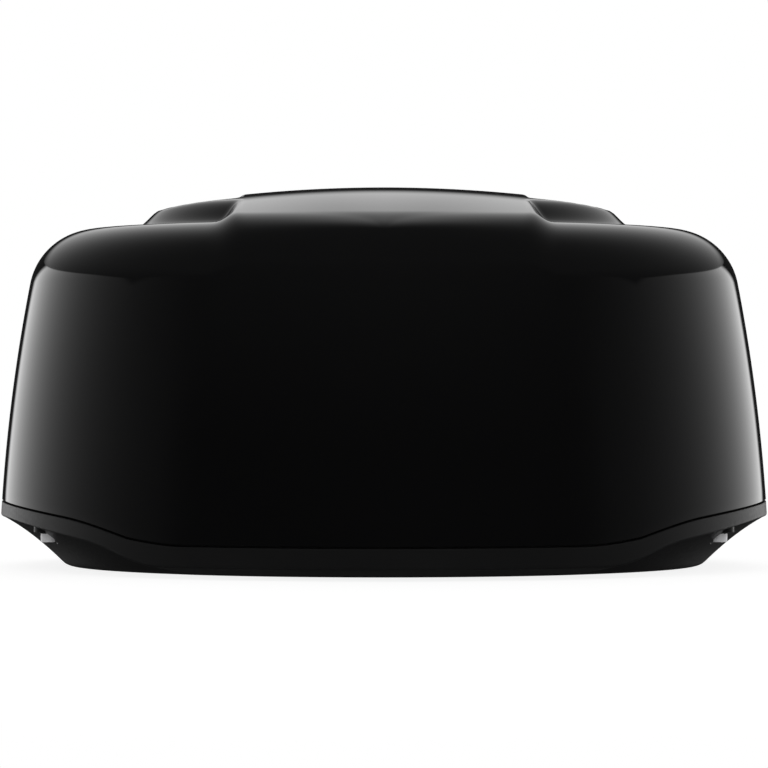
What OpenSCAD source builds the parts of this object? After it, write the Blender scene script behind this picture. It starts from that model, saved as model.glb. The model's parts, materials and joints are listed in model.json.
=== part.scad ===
// Marine radar dome: a two-part radome with a turning antenna, its geared drive,
// electronics and underside connectors.
// Origin: centre of the resting face. +Z is up and the front of the dome faces -Y.

/* [Dome] */
// Widest diameter of the dome
dome_d = 510; // [504:1:516]
// Height from the resting face to the top of the cover
dome_h = 250; // [247:1:253]
// Height of the sunk side shoulders
shoulder_h = 222; // [218:1:224]
// Wall thickness of the cover
wall_t = 4; // [3:0.5:5]
// Radius of the raised round plateau, half way up its flank
plateau_r = 157; // [152:1:160]
// Half width of the raised spine, half way up its flank
spine_half_w = 98; // [88:1:100]
// Height of the seam gap between cover and lower casing
seam_gap = 1.2; // [0.8:0.1:1.6]

/* [Base] */
// Radius of the flat foot that the dome rests on
foot_r = 209; // [205:1:211]
// Thickness of the casing floor
floor_t = 5; // [4:0.5:6]
// Distance between mounting inserts, left to right
mount_dx = 233; // [225:1:240]
// Distance between mounting inserts, front to back
mount_dy = 142; // [130:1:150]
// Diameter of the thread hole in each mounting insert
mount_hole_d = 6.8; // [6.6:0.1:7]
// Diameter of the power connector barrel
power_barrel_d = 18; // [16:1:20]
// Diameter of the network connector barrel
network_barrel_d = 21; // [18:1:22]

/* [Drive] */
// Gear module
gear_module = 1.5; // [1.4:0.05:1.5]
// Face width of the gears
gear_w = 8; // [6:0.5:8]
// Balls in each bearing
ball_count = 9; // [7:1:9]

/* [Antenna] */
// Length of the antenna array
antenna_len = 412; // [380:2:416]
// Height of the antenna tray
antenna_h = 70; // [60:1:72]
// Depth of the antenna tray
antenna_depth = 30; // [24:1:30]
// Radiating patches in each row
patch_count = 20; // [12:1:22]

/* [Hidden] */
$fn = 96;
eps = 0.02;
big = 700;

// Fixed by the gear ratio and the bearing size that the part is built round
gear_teeth = 85;
pinion_teeth = 17;
shaft_d = 25;
pressure_angle = 20;
tooth_backlash = 0.1;

dome_r = dome_d / 2;
crown_r = 900;
side_arc_r = 1144;
corner_r = 44;
crown_c = [0, dome_h - crown_r];
plateau_foot_r = plateau_r + 17;
plateau_crest_r = plateau_r - 17;
barrel_r = 1125;
barrel_top = shoulder_h + 22.4;
spine_foot_x = spine_half_w + 12;
spine_crest_x = spine_half_w - 8;
spine_rise = 14 / 0.84;
side_c = [dome_r + 0.8 - side_arc_r, -32];
cover_low_z = 10;

// The seam and the rim band's lower edge are level at the front, step up over a span of
// distances from the centre plane, and climb evenly from climb_x to the sides
seam_low = 19.5;
seam_step = 9.2;
seam_step_x = [124, 204];
seam_climb = 14.2;
band_low = -1;
band_step = 17;
band_step_x = [108, 188];
band_climb = 19;
climb_x = 160;

pan_edge_r = dome_r - 3;
pan_edge_z = 33;
pan_bow = 2.3;
rim_inner_r = 236;
rim_t = 6;
casing_inner_r = 235;
screw_pos = [217, 90];
screw_r = 2.5;
screw_seat_z = 24.5;
rim_low_z = 8;
rim_corner_r = 5;
cover_boss_r = 8;
cover_boss_top = 56;
cover_insert_r = 4;
cover_insert_low = 40.5;
cover_insert_len = 10;
casing_boss_r = 9;
mount_boss_r = 11;
mount_insert_r = 6.5;
mount_insert_h = 16;

recess = [100, 70, 20];
recess_y = 112;
connector_x = 30;
connector_y = recess_y + recess[1] / 2;
recess_wall = 4;
channel_half_w = 16;
channel_h = 11;
thread_step = 0.9;
seal_margin = 3;
nut_margin = 4;
nut_z = 24;
nut_h = 5;
vent_y = -165;
vent_r = 6.5;
vent_rim_r = 9.5;
vent_seat = 1.5;

post_r = 170;
deck_z = 44;
deck_t = 4;
deck_top = deck_z + deck_t;
deck_r = 195;
lightening_ring_r = 140;
lightening_r = 20;
housing_screw_ring_r = 37;
diagonal_angles = [45 : 90 : 315];
sixth_angles = [0 : 60 : 300];
between_angles = [30 : 60 : 330];

bearing_w = 12;
bearing_in_r = shaft_d / 2 + eps;
bearing_out_r = 23.5;
ball_r = 3.2;
ball_pitch_r = (shaft_d / 2 + bearing_out_r) / 2;
bearing_zs = [58, 84];
housing_top = 92;

flange_z = 96;
gear_z = 100;
table_z = gear_z + 8;
bracket_z = table_z + 4;
bracket_t = 4;
gear_pitch_r = gear_module * gear_teeth / 2;
// Lightening holes, sized to leave a rim inside the teeth whatever the module
gear_hole_at = 46;
gear_hole_r = gear_pitch_r - gear_hole_at - 4.5 * gear_module;
pinion_pitch_r = gear_module * pinion_teeth / 2;
motor_y = gear_pitch_r + pinion_pitch_r;
motor_w = 42.3;
motor_bottom = 52;
motor_top = 92;
motor_screw_xy = 15.5;
bracket_screw_xy = [32, 14.5];
motor_cable_x = 14;
motor_cable_y = 110;
motor_cable_z = 60;
motor_cable_r = 2.2;
motor_cable_low_z = 34;
rotor_screw_r = 18;

tray_z = 128;
tray_back = 22;
tray_front = tray_back - antenna_depth;
tray_t = 3;
web_t = 4;
feed_z = 170;
feed_r = 1.8;
feed_hole_r = 2.9;
tray_screw_hole_r = 2.2;
flare_reach = 30;
flare_rise = 8;
flare_t = 2;

board_z = 20;
board_t = 1.6;
main_board_span = [-90, 90, -130, -22];
power_board_span = [-4, 98, 38, 98];
board_screw_inset = 6;
cable_bend_r = 8;

gloss_black = [0.03, 0.03, 0.03];
dark_grey = [0.16, 0.16, 0.16];
rubber_black = [0.06, 0.06, 0.06];
steel = [0.72, 0.72, 0.74];
aluminium = [0.78, 0.79, 0.81];
brass = [0.8, 0.65, 0.3];
board_green = [0.05, 0.3, 0.15];
copper = [0.85, 0.5, 0.3];
nylon_white = [0.88, 0.87, 0.82];

// ---- Helpers ----

// Points along an arc, from angle a0 to angle a1
function arc(c, r, a0, a1, n) =
    [for (i = [0 : n]) let (a = a0 + (a1 - a0) * i / n) c + r * [cos(a), sin(a)]];

// Direction from point a to point b
function heading(a, b) = atan2(b[1] - a[1], b[0] - a[0]);

// The point that is r1 from c1 and r2 from c2, on the outer side of the dome
function meeting_point(c1, r1, c2, r2) =
    let (d = norm(c2 - c1))
    let (u = (c2 - c1) / d)
    let (a = (d * d + r1 * r1 - r2 * r2) / (2 * d))
    c1 + a * u + sqrt(r1 * r1 - a * a) * [u[1], -u[0]];

// 0 below a, 1 above b, and a smooth S between them
function smooth_step(a, b, x) =
    let (t = min(max((x - a) / (b - a), 0), 1))
    t * t * (3 - 2 * t);

// 0 below a, rising evenly to 1 at b
function ramp(a, b, x) = min(max((x - a) / (b - a), 0), 1);

// Height of the seam at a distance x from the centre plane
function seam_z(x) = seam_low
    + seam_step * smooth_step(seam_step_x[0], seam_step_x[1], x)
    + seam_climb * ramp(climb_x, dome_r, x);

// Height of the lower edge of the rim band at a distance x from the centre plane
function band_z(x) = band_low
    + band_step * smooth_step(band_step_x[0], band_step_x[1], x)
    + band_climb * ramp(climb_x, dome_r, x);

// Distances from the centre plane at which the seam and the band edge bend
seam_xs = [for (x = [seam_step_x[0] : 10 : seam_step_x[1]]) x];
band_xs = [for (x = [band_step_x[0] : 10 : band_step_x[1]]) x];
half_span = 270;

module mirror_copies(v) {
    children();
    mirror(v) children();
}

module four_corners(dx, dy) {
    for (sx = [-1, 1], sy = [-1, 1]) translate([sx * dx, sy * dy, 0]) children();
}

module ring(r_out, r_in, z0, h) {
    translate([0, 0, z0]) difference() {
        cylinder(r = r_out, h = h);
        translate([0, 0, -1]) cylinder(r = r_in, h = h + 2);
    }
}

module rod(r, z0, z1) {
    translate([0, 0, z0]) cylinder(r = r, h = z1 - z0);
}

module block(x0, x1, y0, y1, z0, z1) {
    translate([x0, y0, z0]) cube([x1 - x0, y1 - y0, z1 - z0]);
}

// Extrudes a shape drawn in X and Z along the whole depth of the dome
module along_y(length = big) {
    translate([0, length / 2, 0]) rotate([90, 0, 0]) linear_extrude(length) children();
}

// Pan head screw standing head up, with its seat at z = 0
module pan_screw(r, length) {
    difference() {
        union() {
            cylinder(r = 1.9 * r, h = 1.2 * r);
            translate([0, 0, -length]) cylinder(r = r, h = length + eps);
        }
        translate([0, 0, 0.4 * r]) cylinder(r = r, h = 2 * r, $fn = 6);
    }
}

// A quarter bend of round cable that starts at the origin going up and leaves along +X
module cable_bend(r, bend_r) {
    translate([bend_r, 0, 0]) rotate([90, 0, 180])
        rotate_extrude(angle = 90) translate([bend_r, 0]) circle(r = r);
}

// ---- Outer shapes ----

module high_profile(inset) {
    side = side_c - [0.3, 0];
    fillet_c = meeting_point(crown_c, crown_r - corner_r, side, side_arc_r - corner_r);
    a_crown = heading(crown_c, fillet_c);
    a_side = heading(side, fillet_c);
    a_low = asin((cover_low_z - inset - side[1]) / (side_arc_r - inset));
    polygon(concat(
        [[0, cover_low_z - inset]],
        arc(crown_c, crown_r - inset, 90, a_crown, 8),
        arc(fillet_c, corner_r - inset, a_crown, a_side, 7),
        arc(side, side_arc_r - inset, a_side, a_low, 5)));
}

module low_profile(inset) {
    fillet_z = shoulder_h - corner_r;
    fillet_c = [side_c[0] + sqrt(pow(side_arc_r - corner_r, 2) - pow(fillet_z - side_c[1], 2)), fillet_z];
    a_side = heading(side_c, fillet_c);
    a_low = asin((cover_low_z - inset - side_c[1]) / (side_arc_r - inset));
    polygon(concat(
        [[0, cover_low_z - inset], [0, shoulder_h - inset]],
        arc(fillet_c, corner_r - inset, 90, a_side, 7),
        arc(side_c, side_arc_r - inset, a_side, a_low, 6)));
}

// Half outline of a raised form, from its flank's points, given from the foot to the crest
module raised_outline(flank, inset) {
    foot = flank[0][0];
    crest = flank[len(flank) - 1][0];
    z0 = shoulder_h - inset;
    polygon(concat(
        [[0, z0 - 20], [foot, z0 - 20]],
        flank,
        [[crest - 12, dome_h + 12], [0, dome_h + 12]]));
}

// The round plateau's flank, which rises from the sunk shoulders to the crown
module plateau_profile(inset) {
    z0 = shoulder_h - inset;
    width = plateau_foot_r - plateau_crest_r;
    raised_outline([for (i = [0 : 6])
        let (
            r = plateau_foot_r - width * i / 6,
            crown = crown_c[1] + sqrt(pow(crown_r - inset, 2) - r * r) + 0.6
        )
        [r - inset, z0 + 0.2 + (crown - z0) * smooth_step(0, 6, i)]], inset);
}

// The barrel the plateau is cut down to: curved from side to side, level from front to back
module barrel_profile(inset) {
    below = barrel_top - 60;
    polygon(concat(
        arc([0, barrel_top - barrel_r], barrel_r - inset, 80, 100, 15),
        [[-half_span, below], [half_span, below]]));
}

// The spine's flank is cut off by the crown
module spine_profile(inset) {
    foot = spine_foot_x - inset;
    crest = spine_crest_x - inset;
    z0 = shoulder_h - inset + 0.2;
    raised_outline([for (t = [0 : 0.25 : 1])
        [foot + (crest - foot) * t, z0 + spine_rise * smooth_step(0, 1, t * 0.75)]], inset);
}

module dome_solid(inset) {
    rotate_extrude() low_profile(inset);
    intersection() {
        rotate_extrude() high_profile(inset);
        union() {
            intersection() {
                rotate_extrude() plateau_profile(inset);
                along_y() barrel_profile(inset);
            }
            along_y() mirror_copies([1, 0]) spine_profile(inset);
        }
    }
}

// Everything below a line of points that is mirrored to the left side
module below_line(right) {
    left = [for (i = [len(right) - 1 : -1 : 0]) [-right[i][0], right[i][1]]];
    along_y() polygon(concat(left, right, [[half_span, -50], [-half_span, -50]]));
}

// Everything below the seam surface raised by dz
module below_seam(dz) {
    outer_z = seam_z(dome_r) + dz;
    below_line(concat(
        [for (x = seam_xs) [x, seam_z(x) + dz]],
        [[dome_r, outer_z], [half_span, outer_z]]));
}

// Everything below the lower edge of the rim band
module below_band() {
    outer_z = band_z(dome_r);
    below_line(concat(
        [for (x = band_xs) [x, band_z(x)]],
        [[dome_r, outer_z], [half_span, outer_z]]));
}

module at_screws() {
    four_corners(screw_pos[0], screw_pos[1]) children();
}

// ---- Cover ----

module radome_cover() {
    color(gloss_black) difference() {
        dome_solid(0);
        difference() {
            dome_solid(wall_t);
            intersection() {
                ring(big / 2, rim_inner_r, 0, 80);
                below_seam(seam_gap + rim_t);
            }
            at_screws() rod(cover_boss_r, 0, cover_boss_top);
        }
        below_seam(seam_gap);
        at_screws() rod(cover_insert_r, 0, cover_insert_low + cover_insert_len + 0.5);
    }
}

module cover_inserts() {
    color(brass) at_screws()
        ring(cover_insert_r - eps, screw_r + 0.1, cover_insert_low, cover_insert_len);
}

module cover_gasket() {
    color(rubber_black) difference() {
        intersection() {
            ring(250, 244, 10, 60);
            below_seam(seam_gap - eps);
        }
        below_seam(0);
    }
}

// ---- Lower casing ----

// The pan: a flat foot and a bowed side that runs out under the rim band
module pan_profile() {
    foot = arc([foot_r - 2, 8], 8, -90, -45, 3);
    start = foot[len(foot) - 1];
    run = [pan_edge_r, pan_edge_z] - start;
    polygon(concat(
        [[0, 0]],
        foot,
        [for (t = [0.2 : 0.2 : 0.8]) start + run * t + [0, 4 * pan_bow * t * (1 - t)]],
        [[pan_edge_r, pan_edge_z], [pan_edge_r, 62], [0, 62]]));
}

// The full wall, with a rounded lower corner
module full_wall_profile() {
    top = 70;
    wall_r = side_c[0] + sqrt(pow(side_arc_r, 2) - pow(rim_low_z - side_c[1], 2));
    a_top = asin((top - side_c[1]) / side_arc_r);
    a_low = asin((rim_low_z + 3 - side_c[1]) / side_arc_r);
    polygon(concat(
        [[150, top], [150, 1], [foot_r, 1]],
        arc([wall_r - rim_corner_r, rim_low_z], rim_corner_r, -80, 0, 4),
        arc(side_c, side_arc_r, a_low, a_top, 3)));
}

module at_power() {
    translate([connector_x, connector_y, 0]) children();
}

module at_network() {
    translate([-connector_x, connector_y, 0]) children();
}

module casing_posts() {
    for (a = sixth_angles) rotate(a) translate([post_r, 0, 0]) children();
}

module casing_cavity_profile() {
    polygon([[0, floor_t], [203, floor_t], [casing_inner_r, 30], [casing_inner_r, 90], [0, 90]]);
}

module casing_inside() {
    difference() {
        rotate_extrude() casing_cavity_profile();
        at_screws() rod(casing_boss_r, 0, 95);
        casing_posts() rod(7, 0, deck_z);
        four_corners(mount_dx / 2, mount_dy / 2) rod(mount_boss_r, 0, mount_insert_h + 2);
        block(-recess[0] / 2 - recess_wall, recess[0] / 2 + recess_wall,
            recess_y - recess_wall, recess_y + recess[1] + recess_wall,
            -recess[2] / 2, recess[2] + recess_wall);
        block(-channel_half_w - recess_wall, channel_half_w + recess_wall,
            recess_y + recess[1], 250, 0, channel_h + recess_wall);
    }
}

module casing_cuts() {
    at_screws() {
        rod(6.5, -1, screw_seat_z);
        rod(screw_r + 0.25, screw_seat_z - 1, 70);
    }
    casing_posts() rod(2.2, 20, deck_z + 1);
    four_corners(mount_dx / 2, mount_dy / 2) rod(mount_insert_r, -1, mount_insert_h);
    block(-recess[0] / 2, recess[0] / 2, recess_y, recess_y + recess[1], -1, recess[2]);
    block(-channel_half_w, channel_half_w, recess_y + recess[1] - 2, 300, -1, channel_h);
    at_network() rod(network_barrel_d / 2 - thread_step, 10, 40);
    at_power() rod(power_barrel_d / 2 - thread_step, 10, 40);
    translate([0, vent_y, 0]) {
        rod(vent_r, -1, 20);
        rod(vent_rim_r, -1, vent_seat);
    }
}

module lower_casing() {
    color(dark_grey) difference() {
        union() {
            rotate_extrude() pan_profile();
            difference() {
                rotate_extrude() full_wall_profile();
                below_band();
            }
        }
        difference() {
            ring(big / 2, 222, 0, 100);
            below_seam(0);
        }
        casing_inside();
        casing_cuts();
    }
}

module mount_inserts() {
    color(steel) four_corners(mount_dx / 2, mount_dy / 2) difference() {
        rod(mount_insert_r - eps, 0, mount_insert_h - eps);
        rod(mount_hole_d / 2, -1, mount_insert_h - 2);
    }
}

module cover_screws() {
    color(steel) at_screws() translate([0, 0, screw_seat_z - 1]) rotate([180, 0, 0]) difference() {
        union() {
            rod(4.6, 0, 5.5);
            rod(screw_r, -26, eps);
        }
        translate([0, 0, 2.5]) cylinder(r = 2.3, h = 5, $fn = 6);
    }
}

module screw_seals() {
    color(rubber_black) at_screws() ring(5.6, screw_r + 0.1, screw_seat_z - 1 + eps, 1 - 2 * eps);
}

module breather_vent() {
    color(rubber_black) translate([0, vent_y, 0]) difference() {
        union() {
            rod(vent_rim_r - 0.2, 0.3, vent_seat - eps);
            rod(vent_r - 0.1, 0.3, 9);
        }
        for (a = sixth_angles) rotate(a) translate([3.6, 0, 0]) rod(0.9, -1, 6);
    }
}

// ---- Connectors in the underside recess ----

module connector(barrel_r) {
    difference() {
        union() {
            rod(barrel_r, 3.5, 17);
            rod(barrel_r + 4, 16.5, 19);
            rod(barrel_r - 1, 18, 32);
        }
        rod(barrel_r - 2.5, 0, 14);
    }
}

module power_connector() {
    color(rubber_black) at_power() connector(power_barrel_d / 2);
}

module network_connector() {
    color(rubber_black) at_network() connector(network_barrel_d / 2);
}

module connector_seal(barrel_r) {
    ring(barrel_r + seal_margin, barrel_r - thread_step, 19 + eps, 1 - 2 * eps);
}

module connector_seals() {
    color(rubber_black) {
        at_power() connector_seal(power_barrel_d / 2);
        at_network() connector_seal(network_barrel_d / 2);
    }
}

module connector_nut(barrel_r) {
    translate([0, 0, nut_z + eps]) difference() {
        cylinder(r = barrel_r + nut_margin, h = nut_h, $fn = 6);
        translate([0, 0, -1]) cylinder(r = barrel_r - thread_step, h = nut_h + 2);
    }
}

module connector_nuts() {
    color(steel) {
        at_power() connector_nut(power_barrel_d / 2);
        at_network() connector_nut(network_barrel_d / 2);
    }
}

module connector_pins() {
    color(brass) {
        at_power() for (a = [0, 180]) rotate(a) translate([3, 0, 0]) rod(1.2, 6, 14 - eps);
        at_network() for (a = [0 : 45 : 315]) rotate(a) translate([5, 0, 0]) rod(0.6, 7, 14 - eps);
    }
}

// ---- Deck and bearing housing ----

module deck_plate() {
    color(aluminium) difference() {
        rod(deck_r, deck_z, deck_top);
        rod(24.5, deck_z - 1, deck_top + 1);
        casing_posts() rod(2.8, deck_z - 1, deck_top + 1);
        at_housing_screws() rod(1.8, deck_z - 1, deck_top + 1);
        at_bracket_screws() rod(1.8, deck_z - 1, deck_top + 1);
        translate([motor_cable_x, motor_cable_y, 0]) rod(5, deck_z - 1, deck_top + 1);
        for (a = between_angles) rotate(a) translate([lightening_ring_r, 0, 0])
            rod(lightening_r, deck_z - 1, deck_top + 1);
    }
}

module at_housing_screws() {
    for (a = diagonal_angles) rotate(a) translate([housing_screw_ring_r, 0, 0]) children();
}

module at_motor_screws() {
    translate([0, motor_y, 0]) four_corners(motor_screw_xy, motor_screw_xy) children();
}

module at_bracket_screws() {
    translate([0, motor_y, 0]) four_corners(bracket_screw_xy[0], bracket_screw_xy[1]) children();
}

module deck_screws() {
    color(steel) casing_posts() translate([0, 0, deck_top]) pan_screw(2.1, 20);
}

module bearing_housing() {
    color(aluminium) difference() {
        union() {
            rod(46, deck_top, deck_top + 5);
            rod(30, deck_top, housing_top);
            for (a = [0 : 90 : 270]) rotate(a) block(28, 42, -2.5, 2.5, deck_top + 4, deck_top + 24);
        }
        rod(20.5, deck_top - 1, housing_top + 1);
        rod(bearing_out_r, deck_top - 1, bearing_zs[0] + bearing_w / 2);
        rod(bearing_out_r, bearing_zs[1] - bearing_w / 2, housing_top + 1);
        at_housing_screws() rod(2.2, deck_top - 1, deck_top + 6);
    }
}

module housing_screws() {
    color(steel) at_housing_screws() translate([0, 0, deck_top + 5]) pan_screw(1.7, 8.5);
}

// ---- Bearings ----

module at_bearings() {
    for (z = bearing_zs) translate([0, 0, z]) children();
}

module race(r_in, r_out) {
    rotate_extrude() difference() {
        translate([r_in, -bearing_w / 2 + eps]) square([r_out - r_in, bearing_w - 2 * eps]);
        translate([ball_pitch_r, 0]) circle(r = ball_r + 0.08);
    }
}

module bearing_outer_races() {
    color(steel) at_bearings() race(ball_pitch_r + 2.3, bearing_out_r - eps);
}

module bearing_inner_races() {
    color(steel) at_bearings() race(bearing_in_r, ball_pitch_r - 2.3);
}

module bearing_balls() {
    color(steel) at_bearings() for (i = [0 : ball_count - 1]) rotate(i * 360 / ball_count)
        translate([ball_pitch_r, 0, 0]) sphere(r = ball_r);
}

module ball_cages() {
    color(nylon_white) at_bearings() difference() {
        ring(ball_pitch_r + 1, ball_pitch_r - 1, -4.2, 8.4);
        for (i = [0 : ball_count - 1]) rotate(i * 360 / ball_count)
            translate([ball_pitch_r - 3, 0, 0]) rotate([0, 90, 0]) cylinder(r = ball_r + 0.15, h = 6);
    }
}

module bearing_retaining_ring() {
    color(steel) difference() {
        ring(bearing_out_r - eps, 20.8, 50.2, 1.6);
        block(-1.5, 1.5, 15, 30, 49, 53);
    }
}

// ---- Turning parts ----

module at_rotor_screws() {
    for (a = sixth_angles) rotate(a) translate([rotor_screw_r, 0, 0]) children();
}

module antenna_shaft() {
    color(steel) difference() {
        union() {
            rod(shaft_d / 2, 30, flange_z + 1);
            rod(shaft_d / 2 + 3, 90.3, flange_z + 1);
            rod(36, flange_z, gear_z);
        }
        rod(6, 29, gear_z + 1);
        at_rotor_screws() rod(1.7, flange_z - 1, gear_z + 1);
    }
}

module shaft_retaining_ring() {
    color(steel) difference() {
        ring(15.2, shaft_d / 2 + eps, 50.2, 1.6);
        block(-1.5, 1.5, -20, 0, 49, 53);
    }
}

// One point of an involute flank: base radius, roll angle in degrees, side, tooth centre
function involute_point(base_r, roll, side, centre_angle, half_tooth) =
    let (r = base_r * sqrt(1 + pow(roll * PI / 180, 2)))
    let (a = roll - atan(roll * PI / 180))
    let (total = centre_angle + side * (half_tooth - a))
    r * [cos(total), sin(total)];

module gear_outline(teeth, backlash) {
    pitch_r = gear_module * teeth / 2;
    base_r = pitch_r * cos(pressure_angle);
    tip_r = pitch_r + 0.95 * gear_module;
    root_r = pitch_r - 1.2 * gear_module;
    inv_pitch = tan(pressure_angle) * 180 / PI - pressure_angle;
    half_tooth = 90 / teeth - backlash / pitch_r * 90 / PI + inv_pitch;
    roll_tip = sqrt(pow(tip_r / base_r, 2) - 1) * 180 / PI;
    roll_low = root_r > base_r ? sqrt(pow(root_r / base_r, 2) - 1) * 180 / PI : 0;
    steps = 3;
    rolls = [for (k = [0 : steps]) roll_low + (roll_tip - roll_low) * k / steps];
    low_r = min(root_r, base_r);
    polygon([for (i = [0 : teeth - 1]) let (c = i * 360 / teeth) each concat(
        [low_r * [cos(c - half_tooth), sin(c - half_tooth)]],
        [for (k = [0 : steps]) involute_point(base_r, rolls[k], -1, c, half_tooth)],
        [for (k = [steps : -1 : 0]) involute_point(base_r, rolls[k], 1, c, half_tooth)],
        [low_r * [cos(c + half_tooth), sin(c + half_tooth)]])]);
}

module drive_gear() {
    color(nylon_white) translate([0, 0, gear_z]) rotate(90) linear_extrude(gear_w) difference() {
        gear_outline(gear_teeth, tooth_backlash);
        circle(r = 12, $fn = 12);
        for (a = between_angles) rotate(a) translate([rotor_screw_r, 0]) circle(r = 1.9, $fn = 12);
        for (a = sixth_angles) rotate(a) translate([gear_hole_at, 0]) circle(r = gear_hole_r, $fn = 12);
    }
}

module turntable() {
    color(aluminium) difference() {
        rod(55, gear_z + gear_w, bracket_z);
        rod(9, table_z - 9, bracket_z + 1);
        at_rotor_screws() rod(1.8, table_z - 9, bracket_z + 1);
    }
}

module rotor_screws() {
    color(steel) at_rotor_screws() translate([0, 0, bracket_z + bracket_t]) pan_screw(1.6, 19);
}

module encoder_disc() {
    color(steel) difference() {
        union() {
            rod(26, 38, 39);
            rod(16, 38, 43);
        }
        rod(shaft_d / 2 + eps, 37, 44);
        for (a = [0 : 15 : 345]) rotate(a) translate([22.5, 0, 37]) cylinder(r = 1.4, h = 3, $fn = 4);
    }
}

module encoder_sensor() {
    color(rubber_black) difference() {
        block(19, 34, -6, 6, 33, deck_z - eps);
        block(18, 28, -7, 7, 37, 40.5);
        block(18, 28, -7, 7, 41, 45);
    }
}

module rotary_joint_stator() {
    color(brass) {
        rod(18, floor_t, floor_t + 3);
        rod(13, floor_t + 3, 26);
        rod(3, 26, 95);
    }
}

module rotary_joint_rotor() {
    color(brass) {
        rod(6 - eps, 96, bracket_z);
        rod(8.5, gear_z + eps, bracket_z + 3);
    }
}

// ---- Motor ----

module motor_body() {
    cut = 5;
    h = motor_w / 2;
    color(dark_grey) translate([0, motor_y, 0]) difference() {
        union() {
            translate([0, 0, motor_bottom]) linear_extrude(motor_top - motor_bottom) polygon([
                [h - cut, -h], [h, cut - h], [h, h - cut], [h - cut, h],
                [cut - h, h], [-h, h - cut], [-h, cut - h], [cut - h, -h]]);
            rod(11, motor_top, motor_top + 2);
        }
        rod(2.55, motor_bottom + 5, motor_top + 3);
        four_corners(motor_screw_xy, motor_screw_xy) rod(1.6, motor_top - 6, motor_top + 1);
    }
}

module motor_bracket() {
    color(aluminium) translate([0, motor_y, 0]) difference() {
        union() {
            block(-26, 26, -22, 24, motor_top + eps, motor_top + 4);
            mirror_copies([1, 0, 0]) {
                block(23, 26, -20, 20, deck_top, motor_top + 1);
                block(23, 39, -20, 20, deck_top, deck_top + 3);
            }
        }
        rod(11.2, motor_top - 1, motor_top + 5);
        four_corners(motor_screw_xy, motor_screw_xy) rod(1.8, motor_top - 1, motor_top + 5);
        four_corners(bracket_screw_xy[0], bracket_screw_xy[1]) rod(1.8, deck_top - 1, deck_top + 5);
    }
}

module motor_screws() {
    color(steel) {
        at_motor_screws() translate([0, 0, motor_top + 4]) pan_screw(1.5, 8.5);
        at_bracket_screws() translate([0, 0, deck_top + 3]) pan_screw(1.7, 6.5);
    }
}

module motor_shaft() {
    color(steel) translate([0, motor_y, 0]) rod(2.5, motor_bottom + 5.5, gear_z + gear_w);
}

module drive_pinion() {
    mesh_angle = -90 + 180 / pinion_teeth;
    color(brass) translate([0, motor_y, gear_z - 1]) rotate(mesh_angle)
        linear_extrude(gear_w) difference() {
            gear_outline(pinion_teeth, tooth_backlash);
            circle(r = 2.62, $fn = 12);
        }
}

// ---- Electronics ----

module board(span) {
    difference() {
        block(span[0], span[1], span[2], span[3], board_z, board_z + board_t);
        at_board_corners(span) rod(1.7, board_z - 1, board_z + board_t + 1);
    }
}

module at_board_corners(span) {
    in = board_screw_inset;
    for (x = [span[0] + in, span[1] - in], y = [span[2] + in, span[3] - in])
        translate([x, y, 0]) children();
}

module main_board() {
    color(board_green) board(main_board_span);
}

module power_board() {
    color(board_green) board(power_board_span);
}

module transceiver_can() {
    color(steel) difference() {
        block(-40, 40, -112, -56, board_z + board_t + eps, board_z + board_t + 12);
        block(-39.2, 39.2, -111.2, -56.8, board_z, board_z + board_t + 11.2);
    }
}

module board_components() {
    top = board_z + board_t + eps;
    color(rubber_black) {
        mirror_copies([1, 0, 0]) {
            block(50, 74, -90, -66, top, top + 2.5);
            block(50, 62, -116, -104, top, top + 1.5);
            block(56, 76, -46, -38, top, top + 8);
        }
        block(-38, -22, -38, -26, top, top + 7);
        block(20, 48, 60, 88, top, top + 12);
        for (x = [60 : 14 : 88]) translate([x, 82, 0]) rod(5, top, top + 14);
        block(58, 90, 48, 66, top, top + 9);
        block(8.5, 19, 88, 97.5, top, top + 8);
        block(24, 36, 48, 56, top, top + 7);
    }
}

module board_standoffs() {
    color(steel) for (span = [main_board_span, power_board_span]) at_board_corners(span)
        ring(3, 1.3, floor_t, board_z - floor_t - eps);
}

module board_screws() {
    color(steel) for (span = [main_board_span, power_board_span]) at_board_corners(span)
        translate([0, 0, board_z + board_t]) pan_screw(1.25, 8);
}

// ---- Cables ----

module power_cable() {
    color(rubber_black) translate([connector_x, connector_y, 32 + eps]) rotate(-90) {
        cable_bend(3, cable_bend_r);
        translate([cable_bend_r, 0, cable_bend_r]) rotate([0, 90, 0]) rod(3, 0, 79);
        translate([95, 0, 0]) mirror([1, 0, 0]) cable_bend(3, cable_bend_r);
        translate([95, 0, 0]) rod(3, -3, 0);
    }
}

module network_cable() {
    color(rubber_black) translate([-connector_x, connector_y, 32 + eps]) rotate(-90) {
        cable_bend(2.8, cable_bend_r);
        translate([cable_bend_r, 0, cable_bend_r]) rotate([0, 90, 0]) rod(2.8, 0, 163);
        translate([179, 0, 0]) mirror([1, 0, 0]) cable_bend(2.8, cable_bend_r);
        translate([179, 0, 0]) rod(2.8, -3, 0);
    }
}

module motor_cable() {
    r = motor_cable_r;
    motor_back = motor_y + motor_w / 2;
    color(rubber_black) translate([motor_cable_x, 0, 0]) {
        translate([0, motor_back + eps, motor_cable_z]) rotate([-90, 0, 0])
            rod(r, 0, motor_cable_y - cable_bend_r - motor_back);
        translate([0, motor_cable_y, motor_cable_z - cable_bend_r]) rotate(-90) cable_bend(r, cable_bend_r);
        translate([0, motor_cable_y, 0]) rod(r, motor_cable_low_z, motor_cable_z - cable_bend_r);
        translate([0, motor_cable_y, motor_cable_low_z]) mirror([0, 0, 1]) rotate(-90)
            cable_bend(r, cable_bend_r);
        translate([0, motor_cable_y - cable_bend_r, motor_cable_low_z - cable_bend_r])
            rotate([90, 0, 0]) rod(r, 0, 2 * r);
    }
}

// ---- Antenna ----

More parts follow.
